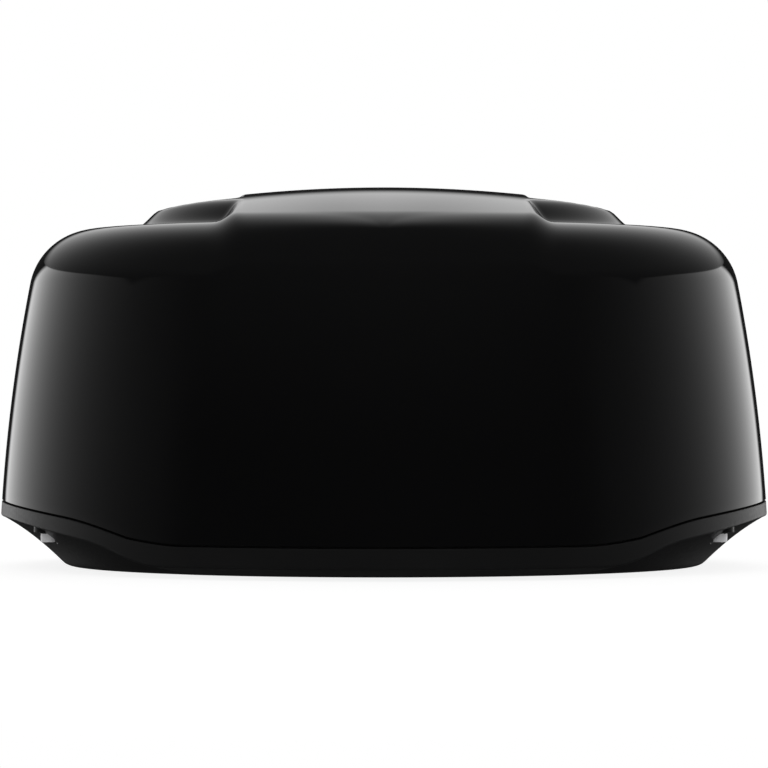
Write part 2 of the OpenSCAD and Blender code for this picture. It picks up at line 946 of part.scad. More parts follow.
module antenna_bracket() {
    color(aluminium) difference() {
        union() {
            block(-75, 75, -28, 58, bracket_z, bracket_z + bracket_t);
            block(-75, 75, tray_back + eps, tray_back + web_t, bracket_z, 192);
            mirror_copies([1, 0, 0]) translate([72, 0, 0]) rotate([90, 0, 90]) linear_extrude(3) polygon([
                [tray_back + 2, bracket_z + 1], [57, bracket_z + 1],
                [57, bracket_z + 8], [tray_back + 2, 180]]);
        }
        rod(9, bracket_z - 1, bracket_z + bracket_t + 1);
        at_rotor_screws() rod(1.8, bracket_z - 1, bracket_z + bracket_t + 1);
        block(-12, 12, tray_back - 1, tray_back + web_t + 1, bracket_z + bracket_t, 148);
        mirror_copies([1, 0, 0]) block(24, 56, tray_back - 1, tray_back + web_t + 1, 134, 168);
        at_tray_screws() rod(tray_screw_hole_r, -web_t - 1, 1);
        translate([0, tray_back + web_t + 1, feed_z]) rotate([90, 0, 0]) cylinder(r = 3.5, h = web_t + 2);
    }
}

module at_tray_screws() {
    for (x = [-64, 64], z = [142, 184]) translate([x, tray_back + web_t, z]) rotate([-90, 0, 0]) children();
}

module antenna_tray() {
    top = tray_z + antenna_h;
    color(aluminium) difference() {
        block(-antenna_len / 2, antenna_len / 2, tray_front, tray_back, tray_z, top);
        block(-antenna_len, antenna_len, tray_front - 1, tray_back - tray_t, tray_z + tray_t, top - tray_t);
        at_tray_screws() rod(tray_screw_hole_r, -20, 0);
        translate([0, tray_back + 1, feed_z]) rotate([90, 0, 0]) cylinder(r = feed_hole_r, h = tray_t + 2);
    }
}

module array_board() {
    low = tray_z + tray_t + eps;
    high = tray_z + antenna_h - tray_t - eps;
    color(board_green)
        block(-antenna_len / 2, antenna_len / 2, tray_front + 2, tray_front + 2 + board_t, low, high);
}

module radiating_patches() {
    pitch = (antenna_len - 12) / patch_count;
    patch = pitch * 0.6;
    color(copper) for (i = [0 : patch_count - 1], row = [-1, 1])
        translate([(i - (patch_count - 1) / 2) * pitch, 0, tray_z + antenna_h / 2 + row * 14])
            block(-patch / 2, patch / 2, tray_front + 1.6, tray_front + 2 - eps, -patch / 2, patch / 2);
}

// A plate along the whole antenna, from its section in Y and Z
module antenna_section(points) {
    translate([-antenna_len / 2, 0, 0]) rotate([90, 0, 90]) linear_extrude(antenna_len) polygon(points);
}

module flare_plates() {
    lip_y = tray_front - flare_reach;
    plate = [
        [0, eps], [0, flare_t], [tray_front, flare_t],
        [lip_y, flare_rise + flare_t], [lip_y, flare_rise], [tray_front, eps]];
    color(aluminium) {
        translate([0, 0, tray_z + antenna_h]) antenna_section(plate);
        translate([0, 0, tray_z]) mirror([0, 0, 1]) antenna_section(plate);
    }
}

module antenna_end_caps() {
    top = tray_z + antenna_h;
    lip_y = tray_front - flare_reach - 1;
    lip_rise = flare_rise + flare_t + 1;
    color(rubber_black) mirror_copies([1, 0, 0]) translate([antenna_len / 2 + eps, 0, 0])
        rotate([90, 0, 90]) linear_extrude(4) polygon([
            [tray_back, tray_z - 3], [tray_back, top + 3], [tray_front, top + 3],
            [lip_y, top + lip_rise], [lip_y, tray_z - lip_rise], [tray_front, tray_z - 3]]);
}

module antenna_screws() {
    color(steel) at_tray_screws() pan_screw(2.1, 10);
}

module feed_cable() {
    start_z = bracket_z + 3 + eps;
    lead_y = 40;
    turn_r = 5;
    color(rubber_black) {
        translate([0, 0, start_z]) rotate(90) cable_bend(feed_r, turn_r);
        translate([0, turn_r, start_z + turn_r]) rotate([-90, 0, 0]) rod(feed_r, 0, lead_y - 2 * turn_r);
        translate([0, lead_y, start_z + 2 * turn_r]) mirror([0, 0, 1]) rotate(-90)
            cable_bend(feed_r, turn_r);
        translate([0, lead_y, 0]) rod(feed_r, start_z + 2 * turn_r, feed_z - turn_r);
        translate([0, lead_y, feed_z - turn_r]) rotate(-90) cable_bend(feed_r, turn_r);
        translate([0, lead_y - turn_r, feed_z]) rotate([90, 0, 0])
            rod(feed_r, 0, lead_y - turn_r - tray_back + 4);
    }
}

radome_cover();
cover_inserts();
cover_gasket();
lower_casing();
mount_inserts();
cover_screws();
screw_seals();
breather_vent();
power_connector();
network_connector();
connector_seals();
connector_nuts();
connector_pins();
deck_plate();
deck_screws();
bearing_housing();
housing_screws();
bearing_outer_races();
bearing_retaining_ring();
bearing_inner_races();
bearing_balls();
ball_cages();
antenna_shaft();
shaft_retaining_ring();
drive_gear();
turntable();
rotor_screws();
encoder_disc();
encoder_sensor();
rotary_joint_stator();
rotary_joint_rotor();
motor_body();
motor_bracket();
motor_screws();
motor_shaft();
drive_pinion();
main_board();
transceiver_can();
board_components();
power_board();
board_standoffs();
board_screws();
power_cable();
network_cable();
motor_cable();
antenna_bracket();
antenna_tray();
array_board();
radiating_patches();
flare_plates();
antenna_end_caps();
antenna_screws();
feed_cable();
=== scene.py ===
"""Looks of a marine radar dome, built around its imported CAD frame.

The outlines are worked out in millimetres and scaled to metres where a mesh is made.
"""
import json
import math

import bmesh
import bpy
import numpy as np
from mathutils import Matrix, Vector

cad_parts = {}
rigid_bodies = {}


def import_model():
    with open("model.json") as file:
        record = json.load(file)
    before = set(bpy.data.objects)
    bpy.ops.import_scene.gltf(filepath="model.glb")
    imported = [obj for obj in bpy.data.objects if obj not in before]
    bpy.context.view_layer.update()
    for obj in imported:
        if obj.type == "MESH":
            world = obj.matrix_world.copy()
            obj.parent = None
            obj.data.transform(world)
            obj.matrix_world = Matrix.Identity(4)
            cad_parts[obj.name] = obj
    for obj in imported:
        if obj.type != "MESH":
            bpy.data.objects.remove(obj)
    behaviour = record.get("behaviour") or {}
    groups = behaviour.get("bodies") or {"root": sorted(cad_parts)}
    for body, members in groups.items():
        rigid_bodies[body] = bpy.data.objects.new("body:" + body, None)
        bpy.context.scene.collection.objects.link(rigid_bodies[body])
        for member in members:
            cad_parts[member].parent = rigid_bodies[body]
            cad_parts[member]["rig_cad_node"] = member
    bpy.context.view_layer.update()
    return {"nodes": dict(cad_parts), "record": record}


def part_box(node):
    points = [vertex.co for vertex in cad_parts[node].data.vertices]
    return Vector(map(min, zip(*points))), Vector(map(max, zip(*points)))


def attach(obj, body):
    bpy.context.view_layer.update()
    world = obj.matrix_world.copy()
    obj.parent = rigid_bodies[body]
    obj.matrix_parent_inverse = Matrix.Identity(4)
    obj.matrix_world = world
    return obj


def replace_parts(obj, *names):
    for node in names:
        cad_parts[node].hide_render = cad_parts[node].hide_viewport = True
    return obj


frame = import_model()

MM = 0.001

# ---------------------------------------------------------------- sizes read from the frame, in millimetres

def box_mm(node):
    """The low and high corners of a CAD node's bounding box."""
    low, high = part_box(node)
    return low / MM, high / MM


DOME_H = box_mm("radome_cover")[1].z
GASKET_R = box_mm("cover_gasket")[1].x
DECK_LOW_Z = box_mm("deck_plate")[0].z

SCREW_HEAD_R = 4.6
SCREW_HIGH = box_mm("cover_screws")[1]
SCREW_X = SCREW_HIGH.x - SCREW_HEAD_R
SCREW_Y = SCREW_HIGH.y - SCREW_HEAD_R

MOUNT_INSERT_R = 6.5
MOUNT_HIGH = box_mm("mount_inserts")[1]
MOUNT_X = MOUNT_HIGH.x - MOUNT_INSERT_R
MOUNT_Y = MOUNT_HIGH.y - MOUNT_INSERT_R

DECK_SCREW_HEAD_R = 4.0
POST_RING_R = box_mm("deck_screws")[1].x - DECK_SCREW_HEAD_R

# ---------------------------------------------------------------- sizes of the mouldings, in millimetres

DOME_R = 255.0
SHOULDER_H = 222.0
WALL_T = 4.0
SEAM_GAP = 1.2

CROWN_R = 900.0
SIDE_ARC_R = 1144.0
CORNER_R = 44.0
CROWN_C = (0.0, DOME_H - CROWN_R)
SIDE_C = (DOME_R + 0.8 - SIDE_ARC_R, -32.0)

# The raised plateau is cut down to a barrel, and joins the spine along a soft edge
PLATEAU_CREST, PLATEAU_FOOT = 140.0, 174.0
BARREL_R = 1125.0
BARREL_TOP = SHOULDER_H + 22.4
BARREL_CUT_SOFTNESS = 0.015
SPINE_CREST, SPINE_FOOT = 89.0, 110.0
SPINE_JOIN_SOFTNESS = 0.03

# The seam and the rim band's lower edge: level at the front, a step up, then an even climb
SEAM_LOW, SEAM_STEP, SEAM_CLIMB = 19.5, 9.2, 14.2
SEAM_STEP_X = (124, 204)
BAND_LOW, BAND_STEP, BAND_CLIMB = -1, 17, 19
BAND_STEP_X = (108, 188)
CLIMB_X = 160.0

RIM_INNER_R = 236.0
RIM_T = 6.0
CAVITY_R = 235.0
CAVITY_FLOOR_R = 203.0
CAVITY_H = 30.0
FOOT_R = 209.0
FLOOR_T = 5.0
PAN_SLOPE = math.tan(math.radians(38))
PAN_BOW = 2.3
PAN_EDGE_SOFTNESS = 1.2
SCREW_SEAT_Z = 24.5

# How finely the mouldings are divided: around, and up the wall, the corner and the top
AROUND = 360
OUTSIDE_STEPS = (22, 22, 84)
INSIDE_STEPS = (8, 8, 26)
# Radii of the extra rings that keep the casing's flat floor evenly divided
FLOOR_RING_R = 120.0
FLOOR_EDGE_RING_R = 198.0
RIM_FACE_RINGS_R = (CAVITY_R + 0.6, 240.0, 246.0)


# ---------------------------------------------------------------- the dome's outlines

def smooth_step(low, high, x):
    """0 below low, 1 above high, and a smooth S between them."""
    t = np.clip((x - low) / (high - low), 0, 1)
    return t * t * (3 - 2 * t)


def ramp(low, high, x):
    """0 below low, rising evenly to 1 at high."""
    return np.clip((x - low) / (high - low), 0, 1)


def soft_min(a, b, k):
    """The smaller of two values, rounded over a width k where they cross."""
    return -k * np.logaddexp(-a / k, -b / k)


def soft_max(a, b, k):
    """The larger of two values, rounded over a width k where they cross."""
    return k * np.logaddexp(a / k, b / k)


def seam_z(x):
    """Height of the seam at a distance x from the centre plane."""
    return SEAM_LOW + SEAM_STEP * smooth_step(*SEAM_STEP_X, x) + SEAM_CLIMB * ramp(CLIMB_X, DOME_R, x)


def band_z(x):
    """Height of the rim band's lower edge at a distance x from the centre plane."""
    return BAND_LOW + BAND_STEP * smooth_step(*BAND_STEP_X, x) + BAND_CLIMB * ramp(CLIMB_X, DOME_R, x)


def heading(a, b):
    """Angle of the line from point a to point b."""
    return math.atan2(b[1] - a[1], b[0] - a[0])


def meeting_point(c1, r1, c2, r2):
    """The point that is r1 from c1 and r2 from c2, on the outer side of the dome."""
    dx, dz = c2[0] - c1[0], c2[1] - c1[1]
    d = math.hypot(dx, dz)
    a = (d * d + r1 * r1 - r2 * r2) / (2 * d)
    h = math.sqrt(r1 * r1 - a * a)
    return (c1[0] + (a * dx + h * dz) / d, c1[1] + (a * dz - h * dx) / d)


HIGH_FILLET = meeting_point(CROWN_C, CROWN_R - CORNER_R, SIDE_C, SIDE_ARC_R - CORNER_R)
HIGH_TOP_ANGLE = heading(CROWN_C, HIGH_FILLET)
HIGH_SIDE_ANGLE = heading(SIDE_C, HIGH_FILLET)
LOW_FILLET_Z = SHOULDER_H - CORNER_R
LOW_FILLET_X = SIDE_C[0] + math.sqrt((SIDE_ARC_R - CORNER_R) ** 2 - (LOW_FILLET_Z - SIDE_C[1]) ** 2)
LOW_FILLET = (LOW_FILLET_X, LOW_FILLET_Z)
LOW_SIDE_ANGLE = heading(SIDE_C, LOW_FILLET)


def wall_r(z, inset=0.0):
    """Radius of the dome's side at height z."""
    arc_r = SIDE_ARC_R - inset
    return SIDE_C[0] + np.sqrt(arc_r ** 2 - (z - SIDE_C[1]) ** 2)


def raised_share(x, r):
    """1 on the plateau and the spine, 0 on the sunk shoulders."""
    across = np.abs(x)
    flank = 1 - smooth_step(PLATEAU_CREST, PLATEAU_FOOT, r)
    barrel_z = BARREL_TOP - BARREL_R + np.sqrt(BARREL_R ** 2 - x ** 2)
    top = (barrel_z - SHOULDER_H) / np.maximum(crown_z(r) - SHOULDER_H, 1.0)
    plateau = np.clip(soft_min(flank, top, BARREL_CUT_SOFTNESS), 0.0, 1.0)
    spine = 1 - smooth_step(SPINE_CREST, SPINE_FOOT, across)
    return np.clip(soft_max(plateau, spine, SPINE_JOIN_SOFTNESS), 0.0, 1.0)


def crown_z(r, inset=0.0):
    """Height of the crown at a radius r."""
    return CROWN_C[1] + np.sqrt((CROWN_R - inset) ** 2 - r ** 2)


def arc_point(centre, r, angle):
    """The point at an angle on a circle."""
    return centre[0] + r * np.cos(angle), centre[1] + r * np.sin(angle)


def blend_point(low, high, angles):
    """Mixes a point of the sunk outline and one of the raised outline by where they lie on the dome."""
    r = (low[0] + high[0]) / 2
    share = raised_share(r * np.cos(angles), r)
    return low[0] + (high[0] - low[0]) * share, low[1] + (high[1] - low[1]) * share


def cover_rings(angles, z_start, inset, wall_steps, corner_steps, top_steps):
    """Rings of (radius, height) that run up the dome's side and over its top to the centre."""
    arc_r = SIDE_ARC_R - inset
    corner_r = CORNER_R - inset
    start = np.arcsin((z_start - SIDE_C[1]) / arc_r)
    rings = []
    for i in range(wall_steps):
        t = i / wall_steps
        low = arc_point(SIDE_C, arc_r, start + (LOW_SIDE_ANGLE - start) * t)
        high = arc_point(SIDE_C, arc_r, start + (HIGH_SIDE_ANGLE - start) * t)
        rings.append(blend_point(low, high, angles))
    for i in range(corner_steps):
        t = i / corner_steps
        low = arc_point(LOW_FILLET, corner_r, LOW_SIDE_ANGLE + (math.pi / 2 - LOW_SIDE_ANGLE) * t)
        high = arc_point(HIGH_FILLET, corner_r, HIGH_SIDE_ANGLE + (HIGH_TOP_ANGLE - HIGH_SIDE_ANGLE) * t)
        rings.append(blend_point(low, high, angles))
    low_edge = LOW_FILLET[0]
    high_edge = arc_point(HIGH_FILLET, corner_r, HIGH_TOP_ANGLE)[0]
    for i in range(top_steps + 1):
        t = 1 - i / top_steps
        low = (low_edge * t, SHOULDER_H - inset)
        high = (high_edge * t, crown_z(high_edge * t, inset))
        rings.append(blend_point(low, high, angles))
    return [(np.broadcast_to(r, angles.shape), np.broadcast_to(z, angles.shape)) for r, z in rings]


def pan_z(r):
    """Height of the pan's outside: a flat foot and a bowed side that runs out under the rim band."""
    t = ramp(FOOT_R + 3.0, DOME_R - 3.0, r)
    side = (r - FOOT_R - 1.0) * PAN_SLOPE + 4 * PAN_BOW * t * (1 - t)
    return soft_max(np.zeros_like(r), side, PAN_EDGE_SOFTNESS)


def under_wall_z(r):
    """Height of the shallow underside between the foot and the rim band at the front and back."""
    return 1.0 + 5.5 * ramp(FOOT_R, DOME_R, r)


def casing_under_z(r, angles):
    """Height of the casing's underside: the pan, with the rim band's shelf outside it."""
    shelf = soft_max(band_z(np.abs(r * np.cos(angles))), under_wall_z(r), 0.7)
    return np.maximum(soft_min(pan_z(r), shelf, 0.5), 0.0)


# ---------------------------------------------------------------- mesh helpers

def object_from_arrays(name, points, faces):
    """Makes an object from points in metres and faces."""
    mesh = bpy.data.meshes.new(name)
    mesh.from_pydata([tuple(p) for p in points], [], faces)
    mesh.validate()
    mesh.update()
    obj = bpy.data.objects.new(name, mesh)
    bpy.context.scene.collection.objects.link(obj)
    return obj


def shade(obj, sharp_degrees=32):
    """Shades an object smooth, with edges above an angle left sharp."""
    mesh = obj.data
    mesh.polygons.foreach_set("use_smooth", [True] * len(mesh.polygons))
    mesh.set_sharp_from_angle(angle=math.radians(sharp_degrees))
    mesh.update()
    return obj


def turned_surface(name, rings, angles):
    """Joins rings of (radius, height) into one surface. A ring whose radius is nought closes to a point."""
    points, faces, starts = [], [], []
    count = len(angles)
    for r, z in rings:
        starts.append(len(points))
        if float(np.max(np.abs(r))) < 1e-6:
            points.append((0.0, 0.0, float(z[0]) * MM))
            continue
        points.extend(zip(r * np.cos(angles) * MM, r * np.sin(angles) * MM, z * MM))
    sizes = [b - a for a, b in zip(starts, starts[1:] + [len(points)])]
    for k in range(len(rings) - 1):
        a, b = starts[k], starts[k + 1]
        for i in range(count):
            j = (i + 1) % count
            if sizes[k] == 1 and sizes[k + 1] == 1:
                continue
            if sizes[k] == 1:
                faces.append((a, b + j, b + i))
            elif sizes[k + 1] == 1:
                faces.append((a + i, a + j, b))
            else:
                faces.append((a + i, a + j, b + j, b + i))
    return object_from_arrays(name, points, faces)


def make_normals_face_out(obj):
    """Turns every face of a closed mesh outwards."""
    bm = bmesh.new()
    bm.from_mesh(obj.data)
    bmesh.ops.recalc_face_normals(bm, faces=bm.faces)
    bm.to_mesh(obj.data)
    bm.free()
    return obj


def lathe(name, outline, centre=(0.0, 0.0), segments=48):
    """Turns a closed outline of (radius, height) in millimetres about a vertical axis."""
    angles = np.linspace(0, 2 * math.pi, segments, endpoint=False)
    points, faces = [], []
    for r, z in outline:
        for a in angles:
            points.append(((centre[0] + r * math.cos(a)) * MM, (centre[1] + r * math.sin(a)) * MM, z * MM))
    rows = len(outline)
    for k in range(rows):
        n = (k + 1) % rows
        for i in range(segments):
            j = (i + 1) % segments
            faces.append((k * segments + i, k * segments + j, n * segments + j, n * segments + i))
    return make_normals_face_out(object_from_arrays(name, points, faces))


def box_piece(name, low, high):
    """A rectangular block between two corners in millimetres, for use in booleans."""
    xs, ys, zs = zip(low, high)
    points = [(x * MM, y * MM, z * MM) for x in xs for y in ys for z in zs]
    faces = [(0, 1, 3, 2), (4, 6, 7, 5), (0, 4, 5, 1), (2, 3, 7, 6), (0, 2, 6, 4), (1, 5, 7, 3)]
    return object_from_arrays(name, points, faces)


def drill_piece(name, x, y, r, z0, z1, segments=48):
    """An upright cylinder in millimetres, for use in booleans."""
    angles = np.linspace(0, 2 * math.pi, segments, endpoint=False)
    ring = [(x + r * math.cos(a), y + r * math.sin(a)) for a in angles]
    points = [(px * MM, py * MM, z * MM) for z in (z0, z1) for px, py in ring]
    faces = [tuple(reversed(range(segments))), tuple(range(segments, 2 * segments))]
    for i in range(segments):
        j = (i + 1) % segments
        faces.append((i, j, segments + j, segments + i))
    return object_from_arrays(name, points, faces)


def round_edges(obj, width_mm, segments=3, angle=30):
    """Bevels a helper block's edges and applies the result."""
    bm = bmesh.new()
    bm.from_mesh(obj.data)
    sharp = [e for e in bm.edges if len(e.link_faces) == 2 and e.calc_face_angle() > math.radians(angle)]
    bmesh.ops.bevel(bm, geom=sharp, offset=width_mm * MM, segments=segments, affect="EDGES", profile=0.5)
    bm.to_mesh(obj.data)
    bm.free()
    return obj


def combine(target, tool, operation):
    """Applies one boolean to target and removes the tool."""
    modifier = target.modifiers.new(operation.lower(), "BOOLEAN")
    modifier.operation = operation
    modifier.solver = "EXACT"
    modifier.object = tool
    depsgraph = bpy.context.evaluated_depsgraph_get()
    result = bpy.data.meshes.new_from_object(target.evaluated_get(depsgraph))
    target.modifiers.clear()
    old = target.data
    target.data = result
    bpy.data.meshes.remove(old)
    bpy.data.objects.remove(tool)
    return target


def joined(name, objects):
    """Merges several objects into one piece."""
    bm = bmesh.new()
    for obj in objects:
        part = obj.data.copy()
        part.transform(obj.matrix_world)
        bm.from_mesh(part)
        bpy.data.meshes.remove(part)
        bpy.data.objects.remove(obj)
    mesh = bpy.data.meshes.new(name)
    bm.to_mesh(mesh)
    bm.free()
    piece = bpy.data.objects.new(name, mesh)
    bpy.context.scene.collection.objects.link(piece)
    return piece


# ---------------------------------------------------------------- material helpers

class Shader:
    """A small builder for one procedural material."""

    def __init__(self, name):
        self.material = bpy.data.materials.new(name)
        self.material.use_nodes = True
        self.tree = self.material.node_tree
        self.tree.nodes.clear()
        self.surface = self.node("ShaderNodeBsdfPrincipled")
        output = self.node("ShaderNodeOutputMaterial")
        self.link(self.surface.outputs[0], output.inputs["Surface"])
        self.place = self.node("ShaderNodeTexCoord").outputs["Object"]

    def node(self, kind, **settings):
        """Adds one node."""
        made = self.tree.nodes.new(kind)
        for key, value in settings.items():
            setattr(made, key, value)
        return made

    def link(self, source, target):
        """Links an output to an input."""
        self.tree.links.new(source, target)

    def put(self, target, value):
        """Links an input to an output, or sets it to a plain value."""
        if isinstance(value, bpy.types.NodeSocket):
            self.link(value, target)
        else:
            target.default_value = value

    def stretched(self, scale):
        """The object's own coordinates, scaled along each axis."""
        mapping = self.node("ShaderNodeMapping")
        self.link(self.place, mapping.inputs["Vector"])
        mapping.inputs["Scale"].default_value = scale
        return mapping.outputs[0]

    def noise(self, scale, detail=4.0, roughness=0.55, place=None):
        """Soft noise between 0 and 1."""
        made = self.node("ShaderNodeTexNoise")
        self.link(place or self.place, made.inputs["Vector"])
        made.inputs["Scale"].default_value = scale
        made.inputs["Detail"].default_value = detail
        made.inputs["Roughness"].default_value = roughness
        return made.outputs["Fac"]

    def cells(self, scale):
        """Distance from the middle of scattered cells."""
        made = self.node("ShaderNodeTexVoronoi", feature="F1")
        self.link(self.place, made.inputs["Vector"])
        made.inputs["Scale"].default_value = scale
        return made.outputs["Distance"]

    def math(self, operation, a, b=0.0, clamp=False):
        """One sum on two values."""
        made = self.node("ShaderNodeMath", operation=operation, use_clamp=clamp)
        self.put(made.inputs[0], a)
        self.put(made.inputs[1], b)
        return made.outputs[0]

    def spread(self, value, from_low, from_high, to_low, to_high):
        """Maps one range of values to another."""
        made = self.node("ShaderNodeMapRange")
        for key, number in zip(("Value", "From Min", "From Max", "To Min", "To Max"),
                               (value, from_low, from_high, to_low, to_high)):
            self.put(made.inputs[key], number)
        return made.outputs[0]

    def mix(self, share, a, b):
        """The first colour where share is 0, and the second where it is 1."""
        made = self.node("ShaderNodeMix", data_type="RGBA")
        self.put(made.inputs[0], share)
        self.put(made.inputs[6], a)
        self.put(made.inputs[7], b)
        return made.outputs[2]

    def axis(self, name):
        """One of the object's own coordinates."""
        made = self.node("ShaderNodeSeparateXYZ")
        self.link(self.place, made.inputs[0])
        return made.outputs[name]

    def bump(self, height, distance, strength):
        """A surface normal disturbed by a height."""
        made = self.node("ShaderNodeBump")
        made.inputs["Strength"].default_value = strength
        made.inputs["Distance"].default_value = distance
        self.link(height, made.inputs["Height"])
        return made.outputs[0]

    def edge_wear(self):
        """1 along outer edges, broken up by noise."""
        geometry = self.node("ShaderNodeNewGeometry")
        worn = self.spread(geometry.outputs["Pointiness"], 0.52, 0.6, 0.0, 1.0)
        patchy = self.spread(self.noise(260), 0.4, 0.65, 0.0, 1.0)
        return self.math("MULTIPLY", worn, patchy, clamp=True)

    def set(self, **values):
        """Sets inputs of the surface, by name."""
        for key, value in values.items():
            self.put(self.surface.inputs[key.replace("_", " ")], value)
        return self

    def done(self):
        """The finished material."""
        return self.material


def rgb(r, g, b):
    """An opaque colour."""
    return (r, g, b, 1.0)


# ---------------------------------------------------------------- materials

def gloss_black():
    """Highly polished black moulding with a trace of moulding ripple and fine dust."""
    s = Shader("gloss_black")
    tone = s.mix(s.noise(9, 3), rgb(0.0013, 0.0013, 0.0014), rgb(0.0020, 0.0020, 0.0021))
    dust = s.spread(s.noise(1400, 2), 0.68, 0.8, 0.0, 0.05)
    ripple = s.bump(s.noise(55, 2, 0.4), 0.00002, 0.35)
    s.set(Base_Color=tone, Roughness=s.math("ADD", 0.045, dust), IOR=1.5, Normal=ripple)
    return s.done()


def satin_grey():
    """Dark grey moulding with a fine spark-eroded grain."""
    s = Shader("casing_satin_grey")
    tone = s.mix(s.noise(30), rgb(0.0024, 0.0024, 0.0025), rgb(0.0040, 0.0040, 0.0041))
    grain = s.math("ADD", s.cells(2600), s.noise(1900, 2))
    rough = s.spread(s.noise(420), 0.3, 0.7, 0.36, 0.45)
    s.set(Base_Color=tone, Roughness=rough, IOR=1.5, Normal=s.bump(grain, 0.00003, 0.35))
    return s.done()


def soft_rubber():
    """Matt black rubber with a fine mottled surface."""
    s = Shader("seal_rubber")
    tone = s.mix(s.noise(120), rgb(0.006, 0.006, 0.006), rgb(0.014, 0.014, 0.014))
    s.set(Base_Color=tone, Roughness=0.72, Normal=s.bump(s.noise(1500), 0.00004, 0.4))
    return s.done()


def metal(name, dark, light, rough_low, rough_high, streak=(40, 40, 900), bump=0.00001, metallic=1.0):
    """Bare metal with directional streaks, blotches and slightly brighter edges."""
    s = Shader(name)
    lines = s.noise(6, 3, 0.6, s.stretched(streak))
    blotch = s.noise(45, 5)
    tone = s.mix(s.math("MULTIPLY", lines, blotch, clamp=True), dark, light)
    tone = s.mix(s.math("MULTIPLY", s.edge_wear(), 0.5), tone, rgb(0.85, 0.85, 0.85))
    rough = s.spread(s.math("ADD", lines, blotch), 0.7, 1.3, rough_low, rough_high)
    s.set(Base_Color=tone, Metallic=metallic, Roughness=rough, Normal=s.bump(lines, bump, 0.5))
    return s.done()


def plastic(name, dark, light, rough_low, rough_high, grain_scale=1400, grain=0.00003):
    """Moulded plastic with a fine grain."""
    s = Shader(name)
    tone = s.mix(s.noise(35), dark, light)
    rough = s.spread(s.noise(300), 0.3, 0.7, rough_low, rough_high)
    s.set(Base_Color=tone, Roughness=rough, IOR=1.49, Normal=s.bump(s.noise(grain_scale, 2), grain, 0.4))
    return s.done()


def laminated_motor():
    """Black end bells with a stack of bare laminations between them."""
    s = Shader("motor_black")
    low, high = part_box("motor_body")
    height = s.spread(s.axis("Z"), low.z, high.z, 0.0, 1.0)
    stack_low, stack_high = 0.24, 0.72
    sheet_pitch = 0.0007
    above_low = s.math("GREATER_THAN", height, stack_low)
    stack = s.math("MULTIPLY", above_low, s.math("LESS_THAN", height, stack_high))
    sheets = s.math("SINE", s.math("MULTIPLY", s.axis("Z"), 2 * math.pi / sheet_pitch))
    bare = s.mix(s.noise(300), rgb(0.16, 0.16, 0.165), rgb(0.3, 0.3, 0.3))
    tone = s.mix(stack, rgb(0.012, 0.012, 0.013), bare)
    grooves = s.math("MULTIPLY", sheets, stack)
    rough = s.spread(s.noise(200), 0.3, 0.7, 0.3, 0.45)
    s.set(Base_Color=tone, Metallic=s.math("MULTIPLY", stack, 0.9), Roughness=rough,
          Normal=s.bump(grooves, 0.00008, 0.6))
    return s.done()


def circuit_board():
    """Green solder mask with copper tracks, pads and a woven substrate."""
    s = Shader("board_green")
    brick = s.node("ShaderNodeTexBrick")
    s.link(s.stretched((1, 1, 1)), brick.inputs["Vector"])
    brick.inputs["Scale"].default_value = 140
    brick.inputs["Mortar Size"].default_value = 0.035
    brick.inputs["Color1"].default_value = rgb(0, 0, 0)
    brick.inputs["Color2"].default_value = rgb(0, 0, 0)
    brick.inputs["Mortar"].default_value = rgb(1, 1, 1)
    tracks = s.math("MULTIPLY", brick.outputs["Color"], s.spread(s.noise(35, 1), 0.45, 0.5, 0.0, 1.0))
    pads = s.spread(s.cells(240), 0.16, 0.2, 1.0, 0.0)
    pads = s.math("MULTIPLY", pads, s.spread(s.noise(60, 1), 0.52, 0.56, 0.0, 1.0))
    mask = s.mix(s.noise(500), rgb(0.006, 0.075, 0.03), rgb(0.01, 0.1, 0.042))
    mask = s.mix(tracks, mask, rgb(0.02, 0.17, 0.075))
    tone = s.mix(pads, mask, rgb(0.75, 0.62, 0.36))
    height = s.math("ADD", tracks, s.math("MULTIPLY", s.noise(900), 0.3))
    s.set(Base_Color=tone, Metallic=pads, Roughness=s.spread(s.noise(400), 0.3, 0.7, 0.28, 0.4),
          Normal=s.bump(height, 0.00003, 0.5))
    return s.done()


def floor_surface():
    """A floor that glows to near white, with a soft contact shadow, and fades out away from the dome."""
    s = Shader("pale_floor")
    s.set(Base_Color=rgb(0.15, 0.15, 0.15), Roughness=0.9)
    s.set(Emission_Color=rgb(1, 1, 1), Emission_Strength=0.86)
    position = s.node("ShaderNodeNewGeometry").outputs["Position"]
    length = s.node("ShaderNodeVectorMath", operation="LENGTH")
    s.link(position, length.inputs[0])
    fade_start, fade_end = 0.7, 1.5
    fade = s.spread(length.outputs["Value"], fade_start, fade_end, 1.0, 0.0)
    s.set(Alpha=fade)
    return s.done()


